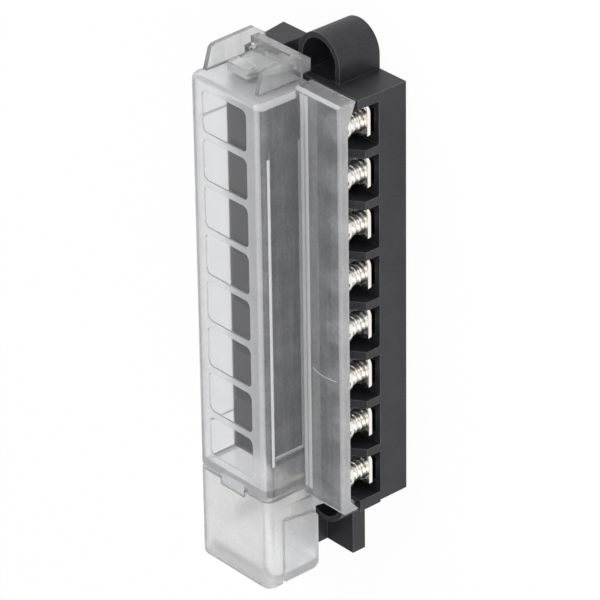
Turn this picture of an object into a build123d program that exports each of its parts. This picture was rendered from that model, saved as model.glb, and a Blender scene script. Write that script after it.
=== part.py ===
from build123d import *
import math
import os

os.makedirs("parts", exist_ok=True)

# An eight-way blade fuse block for surface mounting.
# X runs across the block towards the screw terminals, Y runs along the fuse row towards the latch,
# Z points out of the mounting face. The origin lies on the mounting face, under the middle of the
# fuse row. All sizes are in millimetres.

# Running and seating clearances
seat = 0.3
slide_gap = 0.1

# The row of ways, which sets the length of all mouldings
way_count = 8
way_pitch = 13.0
row_half_length = way_count * way_pitch / 2

# Moulded base
base_left = -15.2
flank_lean = 2.5
base_right = 26.1
base_upper_margin = 1.2
base_lower_margin = 1.9
base_top = row_half_length + base_upper_margin
base_bottom = -row_half_length - base_lower_margin
shoulder_z = 14.5
foot_relief = 0.6

# Terminal pockets, open to the front and to the right
pocket_height = 10.9
pocket_inner_x = 13.0
pocket_floor_z = 8.2
pocket_ledge = 1.5
divider_slope_x = 3.2
divider_slope_z = 2.2

# Fuse carrier, which stands up inside the cover
carrier_half_width = 9.5
carrier_setback = 3.6
carrier_half_length = row_half_length - carrier_setback
carrier_top_z = 22.3
carrier_round = 0.8

# Blade wells in the carrier, for fuses with flat blades
blade_spacing = 9.4
well_width = 6.6
well_thickness = 3.4
contact_seat_z = 9.8

# Channel of the feed bar, along the left of the carrier
channel_left = -12.2
channel_end_wall = 3.0

# Mounting ears, one at each end
ear_x = 10.6
ear_reach = 3.5
ear_radius = 6.85
ear_height = 12.1
ear_well_radius = 5.5
ear_floor = 3.9
ear_hole_radius = 2.3

# Latch recess in the upper end of the base
latch_x = -1.4
recess_half_width = 5.2
recess_depth = 3.0

# Feed platform below the lower end of the base
platform_margin = 1.1
platform_right = 2.4
tongue_right = 11.5

# Sheet metal
contact_metal = 1.0
leaf_metal = 0.5
leaf_gap = 0.7
leaf_width = 5.6
leaf_rise = 8.0
neck_width = 3.0
tab_inset = 1.0
tab_height = 8.4
tab_round = 1.6
feed_metal = 1.2
feed_bar_width = 2.1
feed_plate_right = 1.5

# Terminal screws, backed out as they are delivered
screw_inset = 4.7
screw_radius = 2.6
screw_head_radius = 3.4
screw_head_height = 1.7
screw_slot_width = 1.0
screw_slot_depth = 0.9
screw_length = 6.8
screw_backed_out = 4.4
screw_pit_room = 0.5

# Feed stud with its nut and washers
stud_side_room = 0.5
stud_drop = 10.0
stud_radius = 2.5
stud_rise = 13.0
stud_head_radius = 4.6
stud_head_height = 4.0
washer_radius = 5.0
washer_thickness = 1.0
spring_washer_radius = 4.3
spring_washer_thickness = 1.2
spring_washer_slit = 0.8
nut_across_flats = 8.0
nut_height = 4.0

# Cover
wall = 1.4
box_half_width = 12.4
box_front_z = 31.3
box_corner = 2.5
box_upper_setback = 1.0
box_lower_setback = 3.7
box_top = base_top - box_upper_setback
box_bottom = base_bottom + box_lower_setback
roof_round = 1.4
left_wall_z = contact_seat_z + feed_metal + seat
cover_rear_z = shoulder_z + seat

# Windows, sunk polished panes in the front of the cover
window_count = way_count
window_margin = 2.4
window_rise = 0.55
window_width = 15.2
window_gap = 1.6
window_corner = 1.6
window_depth = 0.4

# Finger grips, shallow hollows in both sides of the cover
grip_setback = 11.6
grip_half_length = row_half_length - grip_setback
grip_front_drop = 2.7
grip_front_z = box_front_z - grip_front_drop
grip_depth = 0.7
grip_round = 0.5

# Flange over the screw terminals
flange_front_z = 19.7
flange_right = 25.7
flange_upper_setback = 0.1
flange_lower_setback = 0.8
flange_top = base_top - flange_upper_setback
flange_bottom = base_bottom + flange_lower_setback
flange_lip = 2.5
flange_edge_round = 0.9
gusset_upper = 5.8
gusset_lower = 2.8
bead_radius = 0.9

# Latch on the upper end of the cover
latch_half_width = 9.5
latch_ear = 1.3
latch_ear_front_drop = 3.1
latch_ear_front_z = box_front_z - latch_ear_front_drop
latch_ear_lean = 2.0
latch_ear_front_rise = 5.8
latch_ear_rear_rise = 6.2
latch_ear_slope_length = 3.4
latch_ear_slope_drop = 2.4
latch_ear_corner = 1.8
latch_ear_tail = 2.2
latch_bar_z = ear_height + seat
latch_bar_depth = 2.3
latch_bar_rise = 3.1
thumb_front_drop = 5.3
thumb_front_z = box_front_z - thumb_front_drop
thumb_half_width = 3.3
thumb_rear_half_width = 6.2
thumb_clearance = 1.3
thumb_front_height = 2.4
thumb_plate = 1.3
hook_half_width = 3.3
hook_thickness = 1.2
hook_tip_z = 8.5
hook_barb = 0.5
hook_barb_length = 1.0

# Tongue of the cover that drops into the end cap
tongue_half_width = 4.0
tongue_drop = 2.6

# End cap over the feed stud
cap_gap = 1.4
cap_rim_inset = 0.9
cap_rim_wall = 0.9
cap_round = 1.3
cap_side_z = 16.4
cap_panel_front_drop = 4.5
cap_panel_front_z = box_front_z - cap_panel_front_drop
cap_panel_proud = 0.9
cap_panel_upper_drop = 3.5
cap_panel_lower_drop = 20.2
cap_panel_top = base_bottom - cap_panel_upper_drop
cap_panel_top_slope = 1.5
cap_panel_bottom = base_bottom - cap_panel_lower_drop
cap_front_overhang = 1.7
cap_bottom = cap_panel_bottom - cap_front_overhang
cap_panel_corner = 1.8
cap_skirt_drop = 3.1
cap_skirt_bottom = base_bottom - cap_skirt_drop
cap_skirt_out = 2.2

# Derived places
way_ys = [(way_count - 1) * way_pitch / 2 - way_pitch * index for index in range(way_count)]
window_pitch = (box_top - box_bottom - 2 * window_margin) / window_count
window_height = window_pitch - window_gap
window_centre_y = (box_top + box_bottom) / 2 + window_rise
blade_x = blade_spacing / 2
ear_ys = (base_top + ear_reach, base_bottom - ear_reach)
feed_end = cap_bottom - platform_margin
feed_plate_end = cap_panel_bottom + wall + seat
screw_x = base_right - screw_inset
tab_right = base_right - tab_inset
tab_top_z = contact_seat_z + contact_metal
screw_pit_z = tab_top_z - screw_length - seat
bar_top_z = contact_seat_z + feed_metal
channel_right = -carrier_half_width
bar_left = channel_left + slide_gap
bar_right = bar_left + feed_bar_width
stud_x = -(box_half_width - wall - stud_side_room - washer_radius)
stud_y = base_bottom - stud_drop
cap_top = box_bottom - cap_gap


def block(x_low, x_high, y_low, y_high, z_low, z_high):
    """A box given by its limits along each axis."""
    size = (x_high - x_low, y_high - y_low, z_high - z_low)
    middle = ((x_low + x_high) / 2, (y_low + y_high) / 2, (z_low + z_high) / 2)
    return Pos(*middle) * Box(*size)


def disc(x, y, z_low, z_high, radius):
    """A cylinder along Z."""
    return Pos(x, y, (z_low + z_high) / 2) * Cylinder(radius, z_high - z_low)


def side_profile(points, x_low, x_high):
    """A prism along X from an outline of (y, z) points."""
    outline = make_face(Polyline([(x_low, y, z) for y, z in points], close=True))
    return extrude(outline, amount=x_high - x_low, dir=(1, 0, 0))


def end_profile(points, y_low, y_high):
    """A prism along Y from an outline of (x, z) points."""
    outline = make_face(Polyline([(x, y_low, z) for x, z in points], close=True))
    return extrude(outline, amount=y_high - y_low, dir=(0, 1, 0))


def rounded_case(half_width, y_low, y_high, z_low, z_high, corner, end_round):
    """A box with rounded long front edges, and a rounded front and side edge at its ends."""
    case = block(-half_width, half_width, y_low, y_high, z_low, z_high)
    long_edges = case.edges().filter_by(Axis.Y).group_by(Axis.Z)[-1]
    case = fillet(long_edges, corner)
    for end, size in ((case.faces().sort_by(Axis.Y)[-1], end_round[1]),
                      (case.faces().sort_by(Axis.Y)[0], end_round[0])):
        if size > 0:
            case = fillet(end.edges().sort_by(Axis.Z)[1:], size)
    return case


# Base

def flank_x(z):
    """Where the leaning left flank of the base lies at a height."""
    return base_left + flank_lean * z / shoulder_z


def plinth():
    """The low body of the base, with a leaning left flank and a relieved lower end."""
    section = [(base_left, 0), (base_right, 0), (base_right, shoulder_z), (flank_x(shoulder_z), shoulder_z)]
    body = end_profile(section, base_bottom, base_top)
    relief = block(ear_x, base_right, base_bottom, base_bottom + foot_relief, 0, pocket_floor_z)
    return body - relief


def carrier():
    """The raised block that holds the fuses."""
    body = block(-carrier_half_width, carrier_half_width, -carrier_half_length, carrier_half_length,
                 contact_seat_z, carrier_top_z)
    rim = body.faces().sort_by(Axis.Z)[-1].edges()
    return fillet(rim, carrier_round)


def mounting_ear(y, towards_base):
    """A round lug with a deep screw well, joined to the end of the base by straight sides."""
    root_y = y - towards_base * (ear_reach + ear_radius / 2)
    low, high = sorted((y, root_y))
    lug = disc(ear_x, y, 0, ear_height, ear_radius)
    lug += block(ear_x - ear_radius, ear_x + ear_radius, low, high, 0, ear_height)
    return lug


def ear_cavity(y, towards_base):
    """The screw well of a lug, with straight sides up to the end of the base, and its screw hole."""
    low, high = sorted((y, y - towards_base * ear_reach))
    well = disc(ear_x, y, ear_floor, ear_height + seat, ear_well_radius)
    well += block(ear_x - ear_well_radius, ear_x + ear_well_radius, low, high, ear_floor,
                  ear_height + seat)
    return well + disc(ear_x, y, 0, ear_floor, ear_hole_radius)


def feed_platform():
    """The step that carries the feed stud, and the thin tongue beside it."""
    section = [(base_left, 0), (platform_right, 0), (platform_right, contact_seat_z),
               (flank_x(contact_seat_z), contact_seat_z)]
    step = end_profile(section, feed_end, base_bottom)
    tongue = block(platform_right, tongue_right, feed_end, base_bottom, 0, ear_floor)
    return step + tongue


def feed_channel():
    """The trough that the feed bar lies in, and the low rim that the cover stands on."""
    high = base_top - channel_end_wall
    trough = block(channel_left, channel_right, base_bottom, high, contact_seat_z, shoulder_z)
    rim = block(base_left, channel_left, base_bottom, high, bar_top_z, shoulder_z)
    return trough + rim


def terminal_pocket(y):
    """One pocket, with a ledge for the contact and a square pit for the end of the screw."""
    low = y - pocket_height / 2
    high = y + pocket_height / 2
    pocket = block(pocket_inner_x, base_right, low, high, contact_seat_z, shoulder_z)
    pocket += block(pocket_inner_x + pocket_ledge, base_right, low, high, pocket_floor_z, shoulder_z)
    half = screw_radius + screw_pit_room
    pit = block(screw_x - half, screw_x + half, y - half, y + half, screw_pit_z, pocket_floor_z)
    return pocket + pit


def divider_slope():
    """The wedge that slopes the front corners of all dividers between the pockets."""
    reach = way_ys[0] + pocket_height / 2
    corner = [(base_right, shoulder_z), (base_right, shoulder_z - divider_slope_z),
              (base_right - divider_slope_x, shoulder_z)]
    return end_profile(corner, -reach, reach)


def blade_wells(y):
    """The two wells of one way, the passage to its pocket and the slot to the feed channel."""
    low = y - well_thickness / 2
    high = y + well_thickness / 2
    half = well_width / 2
    wells = block(-blade_x - half, -blade_x + half, low, high, contact_seat_z, carrier_top_z)
    wells += block(blade_x - half, blade_x + half, low, high, contact_seat_z, carrier_top_z)
    wells += block(blade_x, pocket_inner_x, low, high, contact_seat_z, tab_top_z + seat)
    wells += block(channel_right, -blade_x, low, high, contact_seat_z, bar_top_z + seat)
    return wells


def latch_recess():
    """The hollow in the upper end of the base that takes the hook of the latch."""
    return block(latch_x - recess_half_width, latch_x + recess_half_width, base_top - recess_depth,
                 base_top, 0, shoulder_z)


def base():
    """The whole black moulding."""
    body = plinth() - feed_channel()
    body += carrier()
    body += feed_platform()
    for y, towards_base in zip(ear_ys, (1, -1)):
        body += mounting_ear(y, towards_base)
    for y, towards_base in zip(ear_ys, (1, -1)):
        body -= ear_cavity(y, towards_base)
    body -= divider_slope()
    body -= latch_recess()
    for y in way_ys:
        body -= terminal_pocket(y)
        body -= blade_wells(y)
    body -= disc(stud_x, stud_y, contact_seat_z - stud_head_height, contact_seat_z, stud_head_radius + seat)
    return body


# Contacts

def fork(x, y, z):
    """Two leaves that grip one fuse blade."""
    leaves = None
    for side in (-1, 1):
        middle = y + side * (leaf_gap + leaf_metal) / 2
        leaf = block(x - leaf_width / 2, x + leaf_width / 2, middle - leaf_metal / 2,
                     middle + leaf_metal / 2, z, z + leaf_rise)
        leaves = leaf if leaves is None else leaves + leaf
    return leaves


def load_contact(y):
    """One stamped contact: fork in the right well, neck through the wall, tab in the pocket."""
    neck = block(blade_x - leaf_width / 2, pocket_inner_x + pocket_ledge, y - neck_width / 2,
                 y + neck_width / 2, contact_seat_z, tab_top_z)
    tab = block(pocket_inner_x + seat, tab_right, y - tab_height / 2, y + tab_height / 2,
                contact_seat_z, tab_top_z)
    outer_corners = tab.edges().filter_by(Axis.Z).group_by(Axis.X)[-1]
    tab = fillet(outer_corners, tab_round)
    tab -= disc(screw_x, y, contact_seat_z, tab_top_z, screw_radius + slide_gap)
    return neck + tab + fork(blade_x, y, tab_top_z)


def bus_bar():
    """The common feed: one bar with eight forks and the plate under the feed stud."""
    bar_top = way_ys[0] + well_thickness / 2
    bar = block(bar_left, bar_right, feed_plate_end, bar_top, contact_seat_z, bar_top_z)
    bar += block(bar_left, feed_plate_right, feed_plate_end, base_bottom - seat, contact_seat_z,
                 bar_top_z)
    for y in way_ys:
        bar += block(bar_left, -blade_x + leaf_width / 2, y - neck_width / 2, y + neck_width / 2,
                     contact_seat_z, bar_top_z)
        bar += fork(-blade_x, y, bar_top_z)
    return bar - disc(stud_x, stud_y, contact_seat_z, bar_top_z, stud_radius + slide_gap)


# Fasteners

def terminal_screw(y):
    """One slotted cheese-head clamp screw, standing out of its tab."""
    head_z = tab_top_z + screw_backed_out
    top_z = head_z + screw_head_height
    shank = disc(screw_x, y, head_z - screw_length, head_z, screw_radius)
    head = disc(screw_x, y, head_z, top_z, screw_head_radius)
    slot = block(screw_x - screw_head_radius, screw_x + screw_head_radius, y - screw_slot_width / 2,
                 y + screw_slot_width / 2, top_z - screw_slot_depth, top_z)
    return shank + head - slot


def hexagon(across_flats, z_low, z_high):
    """A hexagonal prism on the axis of the feed stud."""
    corner_radius = across_flats / math.sqrt(3)
    outline = RegularPolygon(corner_radius, 6)
    return Pos(stud_x, stud_y, z_low) * extrude(outline, amount=z_high - z_low)


def feed_stud():
    """The stud, held by its round head under the feed plate."""
    head = disc(stud_x, stud_y, contact_seat_z - stud_head_height, contact_seat_z, stud_head_radius)
    shank = disc(stud_x, stud_y, contact_seat_z, bar_top_z + stud_rise, stud_radius)
    return head + shank


def feed_washer():
    """The flat washer on the feed plate."""
    ring = disc(stud_x, stud_y, bar_top_z, bar_top_z + washer_thickness, washer_radius)
    return ring - disc(stud_x, stud_y, bar_top_z, bar_top_z + washer_thickness, stud_radius + slide_gap)


def feed_spring_washer():
    """The split washer on the flat one."""
    low = bar_top_z + washer_thickness
    high = low + spring_washer_thickness
    ring = disc(stud_x, stud_y, low, high, spring_washer_radius)
    ring -= disc(stud_x, stud_y, low, high, stud_radius + slide_gap)
    slit = block(stud_x, stud_x + spring_washer_radius, stud_y - spring_washer_slit / 2,
                 stud_y + spring_washer_slit / 2, low, high)
    return ring - slit


def feed_nut():
    """The nut, run down to the washers."""
    low = bar_top_z + washer_thickness + spring_washer_thickness + seat
    body = hexagon(nut_across_flats, low, low + nut_height)
    return body - disc(stud_x, stud_y, low, low + nut_height, stud_radius + slide_gap)


# Cover

def box_shell():
    """The raised box over the fuses, open towards the base."""
    outer = rounded_case(box_half_width, box_bottom, box_top, cover_rear_z, box_front_z,
                         box_corner, (0, roof_round))
    inner = rounded_case(box_half_width - wall, box_bottom + wall, box_top - wall, cover_rear_z,
                         box_front_z - wall, box_corner - wall, (0, 0))
    skirt_top = base_top - channel_end_wall - seat
    skirt = block(-box_half_width, wall - box_half_width, box_bottom, skirt_top, left_wall_z, cover_rear_z)
    return outer - inner + skirt


def windows():
    """The sunk panes in the front of the box."""
    panes = []
    for index in range(window_count):
        y = window_centre_y + ((window_count - 1) / 2 - index) * window_pitch
        pane = RectangleRounded(window_width, window_height, window_corner)
        panes.append(Pos(0, y, box_front_z - window_depth) * extrude(pane, amount=window_depth))
    return panes


def finger_grip(side):
    """A shallow hollow in one side of the box, with a soft lower and upper edge."""
    rear = flange_front_z if side > 0 else shoulder_z + 2 * wall
    inner = side * (box_half_width - grip_depth)
    outer = side * box_half_width
    low, high = sorted((inner, outer))
    hollow = block(low, high, -grip_half_length, grip_half_length, rear, grip_front_z)
    floor_face = hollow.faces().sort_by(Axis.X)[0 if side > 0 else -1]
    ends = floor_face.edges().filter_by(Axis.Z)
    return fillet(ends, grip_round)


def flange():
    """The plate over the terminals, with its end walls, side lip and corner gussets."""
    plate_z = flange_front_z - wall
    inner_x = box_half_width - wall
    outer = block(inner_x, flange_right, flange_bottom, flange_top, cover_rear_z, flange_front_z)
    front_rim = [edge for edge in outer.faces().sort_by(Axis.Z)[-1].edges()
                 if edge.center().X > inner_x + wall]
    outer = fillet(front_rim, flange_edge_round)
    hollow = block(inner_x, flange_right - wall, flange_bottom + wall, flange_top - wall,
                   cover_rear_z, plate_z)
    lip_z = flange_front_z - flange_lip
    mouth = side_profile([(flange_top, cover_rear_z), (flange_top - gusset_upper, lip_z),
                          (flange_bottom + gusset_lower, lip_z), (flange_bottom, cover_rear_z)],
                         flange_right - wall, flange_right)
    corner = block(inner_x, box_half_width + seat, flange_bottom, box_bottom, cover_rear_z, flange_front_z)
    return outer - hollow - mouth - corner


def bead():
    """The soft seam between the box and the flange."""
    seam = Pos(box_half_width, (box_bottom + box_top) / 2, flange_front_z)
    rod = seam * Rot(90, 0, 0) * Cylinder(bead_radius, box_top - box_bottom)
    return rod & block(box_half_width - wall, box_half_width + bead_radius, box_bottom, box_top,
                       flange_front_z - wall, flange_front_z + bead_radius)


def latch_ear_wall(x_low, tail):
    """One of the two walls that guard the thumb tongue, with a sloping rear end."""
    root = box_top - wall / 2
    front_top = box_top + latch_ear_front_rise
    rear_top = box_top + latch_ear_rear_rise
    rear_z = latch_bar_z - tail
    profile = [(root, latch_ear_front_z), (front_top, latch_ear_front_z - latch_ear_lean),
               (rear_top, rear_z + latch_ear_slope_length), (rear_top - latch_ear_slope_drop, rear_z),
               (base_top + seat, rear_z), (base_top + seat, cover_rear_z), (root, cover_rear_z)]
    guard = side_profile(profile, x_low, x_low + latch_ear)
    front_edge = guard.edges().filter_by(Axis.X).sort_by(lambda edge: edge.center().Y + edge.center().Z)[-1]
    return fillet(front_edge, latch_ear_corner)


def thumb_tongue():
    """The springy tongue between the guards, pushed by the thumb."""
    low = box_top + thumb_clearance
    rear_z = latch_bar_z + latch_bar_depth / 2
    plan = [(latch_x - thumb_half_width, thumb_front_z), (latch_x + thumb_half_width, thumb_front_z),
            (latch_x + thumb_rear_half_width, rear_z), (latch_x - thumb_rear_half_width, rear_z)]
    plate = end_profile(plan, low, low + thumb_plate)
    step_z = thumb_front_z - thumb_half_width
    grip = block(latch_x - thumb_half_width, latch_x + thumb_half_width, low,
                 low + thumb_front_height, step_z, thumb_front_z)
    return plate + grip


def latch_bar():
    """The bar that joins guards and tongue behind the roof, with the hook that drops into the base."""
    low = base_top + seat
    bar = block(latch_x - latch_half_width, latch_x + latch_half_width, low, low + latch_bar_rise,
                latch_bar_z, latch_bar_z + latch_bar_depth)
    leg_low = base_top - recess_depth + hook_barb + seat
    hook = block(latch_x - hook_half_width, latch_x + hook_half_width, leg_low, leg_low + hook_thickness,
                 hook_tip_z, latch_bar_z + latch_bar_depth)
    hook += block(latch_x - hook_half_width, latch_x + hook_half_width, leg_low, low,
                  latch_bar_z, latch_bar_z + latch_bar_depth)
    hook += block(latch_x - hook_half_width, latch_x + hook_half_width, leg_low - hook_barb, leg_low,
                  hook_tip_z, hook_tip_z + hook_barb_length)
    return bar + hook


def cover():
    """The whole lift-off cover, one clear moulding."""
    body = box_shell() + flange() + bead()
    body += latch_ear_wall(latch_x - latch_half_width, latch_ear_tail)
    body += latch_ear_wall(latch_x + latch_half_width - latch_ear, 0)
    body += thumb_tongue()
    body += latch_bar()
    body += block(-tongue_half_width, tongue_half_width, box_bottom - tongue_drop, box_bottom,
                  box_front_z - wall, box_front_z)
    body -= [finger_grip(side) for side in (-1, 1)]
    body -= windows()
    return body


# End cap

def cap_shell():
    """The hollow cap, with a thinner rim towards the cover."""
    outer = rounded_case(box_half_width, cap_bottom, cap_top, left_wall_z, box_front_z, box_corner,
                         (cap_round, 0))
    rim_half = box_half_width - cap_rim_inset
    outer += rounded_case(rim_half, cap_top, box_bottom - seat, left_wall_z, box_front_z - cap_rim_inset,
                          box_corner - cap_rim_inset, (0, 0))
    inner = rounded_case(box_half_width - wall, cap_bottom + wall, cap_top, left_wall_z,
                         box_front_z - wall, box_corner - wall, (0, 0))
    inner += rounded_case(rim_half - cap_rim_wall, cap_top, box_bottom, left_wall_z,
                          box_front_z - cap_rim_inset - cap_rim_wall,
                          (box_corner - cap_rim_inset) / 2, (0, 0))
    return outer - inner


def cap_side_cuts():
    """What is cut away at the right and lower walls so that the feed cable can enter."""
    deep = box_half_width - wall - seat
    right = block(deep, box_half_width, cap_bottom, box_bottom, left_wall_z, cap_side_z)
    step = block(-box_half_width, box_half_width + cap_panel_proud, cap_bottom, cap_panel_bottom,
                 left_wall_z, cap_panel_front_z)
    upper = block(-box_half_width, box_half_width, base_bottom - seat, box_bottom, left_wall_z, cover_rear_z)
    return [right, step, upper]


def cap_lower_wall():
    """The lower wall of the cap, set back behind its front edge, with one half down to the platform."""
    high = cap_panel_bottom + wall
    upright = block(-box_half_width, box_half_width, cap_panel_bottom, high, cap_side_z,
                    cap_panel_front_z + wall)
    foot = block(-box_half_width, platform_right, cap_panel_bottom, high, contact_seat_z + seat, cap_side_z)
    return upright + foot


def cap_panel():
    """The proud panel on the right of the cap."""
    outline = [(cap_panel_top, cap_panel_front_z), (cap_panel_top - cap_panel_top_slope, cap_side_z),
               (cap_panel_bottom, cap_side_z), (cap_panel_bottom, cap_panel_front_z)]
    panel = side_profile(outline, box_half_width - wall, box_half_width + cap_panel_proud)
    rear_corners = panel.edges().filter_by(Axis.X).group_by(Axis.Z)[0]
    return fillet(rear_corners, cap_panel_corner)


def cap_skirt():
    """The curved skirt above the cable entry, which sweeps outwards over the lower ear."""
    low_z = ear_height + seat
    high_z = cap_panel_front_z
    middle = (box_half_width + cap_skirt_out / 4, (low_z + high_z) / 2)
    start = (box_half_width, high_z)
    finish = (box_half_width + cap_skirt_out, low_z)
    outer_line = ThreePointArc((start[0], 0, start[1]), (middle[0], 0, middle[1]), (finish[0], 0, finish[1]))
    inner_line = ThreePointArc((finish[0] - wall, 0, finish[1]), (middle[0] - wall, 0, middle[1]),
                               (start[0] - wall, 0, start[1]))
    ends = [Line(outer_line @ 1, inner_line @ 0), Line(inner_line @ 1, outer_line @ 0)]
    strip = make_face(Wire([outer_line, ends[0], inner_line, ends[1]]))
    low_y = cap_skirt_bottom
    high_y = base_bottom - seat
    sweep_out = extrude(Pos(0, low_y, 0) * strip, amount=high_y - low_y, dir=(0, 1, 0))
    return sweep_out


def end_cap():
    """The clear cap over the feed stud."""
    body = cap_shell() - cap_side_cuts()
    body += cap_lower_wall()
    body += cap_panel()
    body += cap_skirt()
    notch = tongue_half_width + seat
    body -= block(-notch, notch, box_bottom - tongue_drop - seat, box_bottom,
                  box_front_z - wall - cap_rim_wall, box_front_z)
    return body


def write(name, shape):
    """Write one node."""
    export_step(shape, f"parts/{name}.step")
    print(name, round(shape.volume, 1))


write("base", base())
write("cover", cover())
write("end_cap", end_cap())
write("bus_bar", bus_bar())
write("feed_stud", feed_stud())
write("feed_washer", feed_washer())
write("feed_spring_washer", feed_spring_washer())
write("feed_nut", feed_nut())
for number, way_y in enumerate(way_ys, start=1):
    write(f"load_contact_{number}", load_contact(way_y))
    write(f"terminal_screw_{number}", terminal_screw(way_y))
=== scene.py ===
# %% [markdown]
# # A fuse box under a frosted cover
# The object is a surface-mounted fuse box. A black moulded base holds the metal, and a
# translucent cover and end cap keep fingers off it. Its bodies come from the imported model, and
# their shapes are right but plain. They could be modelled again from nothing, but copies of them
# are sure to fit the frame. So this lesson rounds the edges of copies, gives them finishes, cuts
# the threads anew and lights the whole.

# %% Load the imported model
import bpy
import math
from mathutils import Euler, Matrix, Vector


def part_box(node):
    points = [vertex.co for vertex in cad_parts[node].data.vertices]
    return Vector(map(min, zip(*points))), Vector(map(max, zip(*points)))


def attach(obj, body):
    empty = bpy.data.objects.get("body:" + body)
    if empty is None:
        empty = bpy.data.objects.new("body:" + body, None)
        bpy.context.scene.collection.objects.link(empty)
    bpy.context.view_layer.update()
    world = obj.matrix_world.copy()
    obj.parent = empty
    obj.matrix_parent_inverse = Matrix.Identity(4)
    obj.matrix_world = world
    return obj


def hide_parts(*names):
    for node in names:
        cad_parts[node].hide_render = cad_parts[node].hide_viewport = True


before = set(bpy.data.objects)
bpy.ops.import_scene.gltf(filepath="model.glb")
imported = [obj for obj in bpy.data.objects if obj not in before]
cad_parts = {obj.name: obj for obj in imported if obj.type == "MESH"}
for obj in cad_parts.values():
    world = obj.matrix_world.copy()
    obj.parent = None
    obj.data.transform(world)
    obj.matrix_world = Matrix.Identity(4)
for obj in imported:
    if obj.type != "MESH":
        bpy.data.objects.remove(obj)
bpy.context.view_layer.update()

# %% [markdown]
# ## The camera
# The photograph was taken with a long lens from the side of the terminals and the latch, with
# the fuse row upright in the picture. A camera can be placed by eye, but here its place, turn
# and lens were fitted to the edges of the object, so that the two pictures can be laid over each
# other.

# %% Camera
LENS = 269.0445
CAMERA_PLACE = (0.682473, 0.503739, 0.605689)
CAMERA_TURN = (-30.36537, 48.44877, -1.08114)

camera_data = bpy.data.cameras.new("camera")
camera_data.lens = LENS
camera_data.sensor_width = 36.0
camera_data.clip_start = 0.01
camera_data.clip_end = 20.0
camera = bpy.data.objects.new("camera", camera_data)
camera.location = CAMERA_PLACE
camera.rotation_euler = Euler([math.radians(angle) for angle in CAMERA_TURN])
bpy.context.scene.collection.objects.link(camera)
bpy.context.scene.camera = camera
print("camera at", tuple(camera.location))

# %% [markdown]
# ## Helpers for working by hand
# An operator acts on all that is selected, so each step first clears the selection. A CAD node
# is a heap of loose triangles: a copy of it is merged, and its flat faces are joined, before
# its edges can be rounded. A bevel on every sharp edge is one way to round them, and subdivision
# is another. The bevel is used because it leaves the flat faces and the sizes alone, and
# weighted normals then keep those flat faces looking flat.

# %% Selecting and editing
MM = 0.001


def select_only(*pieces):
    """Leave only these objects selected, with the last one active."""
    if bpy.context.object and bpy.context.object.mode != "OBJECT":
        bpy.ops.object.mode_set(mode="OBJECT")
    bpy.ops.object.select_all(action="DESELECT")
    for piece in pieces:
        piece.select_set(True)
        bpy.context.view_layer.objects.active = piece


def edit(piece, *steps):
    """Run steps in edit mode with the whole mesh selected."""
    select_only(piece)
    bpy.ops.object.mode_set(mode="EDIT")
    bpy.ops.mesh.select_all(action="SELECT")
    for step in steps:
        step()
    bpy.ops.object.mode_set(mode="OBJECT")


# %% Copies of CAD nodes
MERGE_REACH = 0.002 * MM
SLIVER_REACH = 0.001 * MM
FLAT_ANGLE = math.radians(0.5)
SHARP_ANGLE = math.radians(40)
SMOOTH_ANGLE = math.radians(30)


def merged_copy(node, name):
    """A copy of a CAD node's mesh with its corners merged and its flat faces joined."""
    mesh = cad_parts[node].data.copy()
    mesh.name = name
    mesh.materials.clear()
    piece = bpy.data.objects.new(name, mesh)
    bpy.context.scene.collection.objects.link(piece)
    edit(piece,
         lambda: bpy.ops.mesh.remove_doubles(threshold=MERGE_REACH),
         lambda: bpy.ops.mesh.customdata_custom_splitnormals_clear(),
         lambda: bpy.ops.mesh.dissolve_limited(angle_limit=FLAT_ANGLE))
    return piece


def round_edges(piece, width):
    """Round the sharp edges with a bevel, and shade the rest smooth."""
    select_only(piece)
    bevel = piece.modifiers.new("edges", "BEVEL")
    bevel.width = width
    bevel.segments = 2
    bevel.limit_method = "ANGLE"
    bevel.angle_limit = SHARP_ANGLE
    bpy.ops.object.modifier_apply(modifier=bevel.name)
    edit(piece,
         lambda: bpy.ops.mesh.remove_doubles(threshold=SLIVER_REACH),
         lambda: bpy.ops.mesh.dissolve_degenerate(threshold=SLIVER_REACH))
    bpy.ops.object.shade_smooth_by_angle(angle=SMOOTH_ANGLE)
    level = piece.modifiers.new("flat_faces", "WEIGHTED_NORMAL")
    level.keep_sharp = True
    level.weight = 100
    bpy.ops.object.modifier_apply(modifier=level.name)


def stand_for(piece, node, body):
    """Let a piece stand for a CAD node on its body."""
    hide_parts(node)
    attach(piece, body)


# %% [markdown]
# ## Nodes by name
# Every finish is a node material. Writing each node and link out in full would hide the idea, so
# a few helpers add a node with its values and join two sockets by name. An effect that several
# materials share is a node group: it is built once and placed in each, with its own values.

# %% Nodes and links
def new_material(name):
    """An empty node material."""
    material = bpy.data.materials.new(name)
    material.use_nodes = True
    material.node_tree.nodes.clear()
    return material


def add(tree, kind, **settings):
    """Add a node; a setting that isn't one of its properties sets the socket of that name."""
    node = tree.nodes.new(kind)
    for key, value in settings.items():
        if hasattr(node, key):
            setattr(node, key, value)
        else:
            node.inputs[key.replace("_", " ")].default_value = value
    return node


def wire(tree, source, socket_out, target, socket_in):
    """Join two nodes by the names or numbers of their sockets."""
    tree.links.new(source.outputs[socket_out], target.inputs[socket_in])


# %% Node groups
def group_tree(name, inputs, outputs):
    """A node group with number sockets; it returns the tree and its two ends."""
    tree = bpy.data.node_groups.new(name, "ShaderNodeTree")
    for socket, default in inputs:
        item = tree.interface.new_socket(name=socket, in_out="INPUT",
                                         socket_type="NodeSocketFloat")
        item.default_value = default
    for socket in outputs:
        tree.interface.new_socket(name=socket, in_out="OUTPUT", socket_type="NodeSocketFloat")
    return tree, tree.nodes.new("NodeGroupInput"), tree.nodes.new("NodeGroupOutput")


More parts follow.
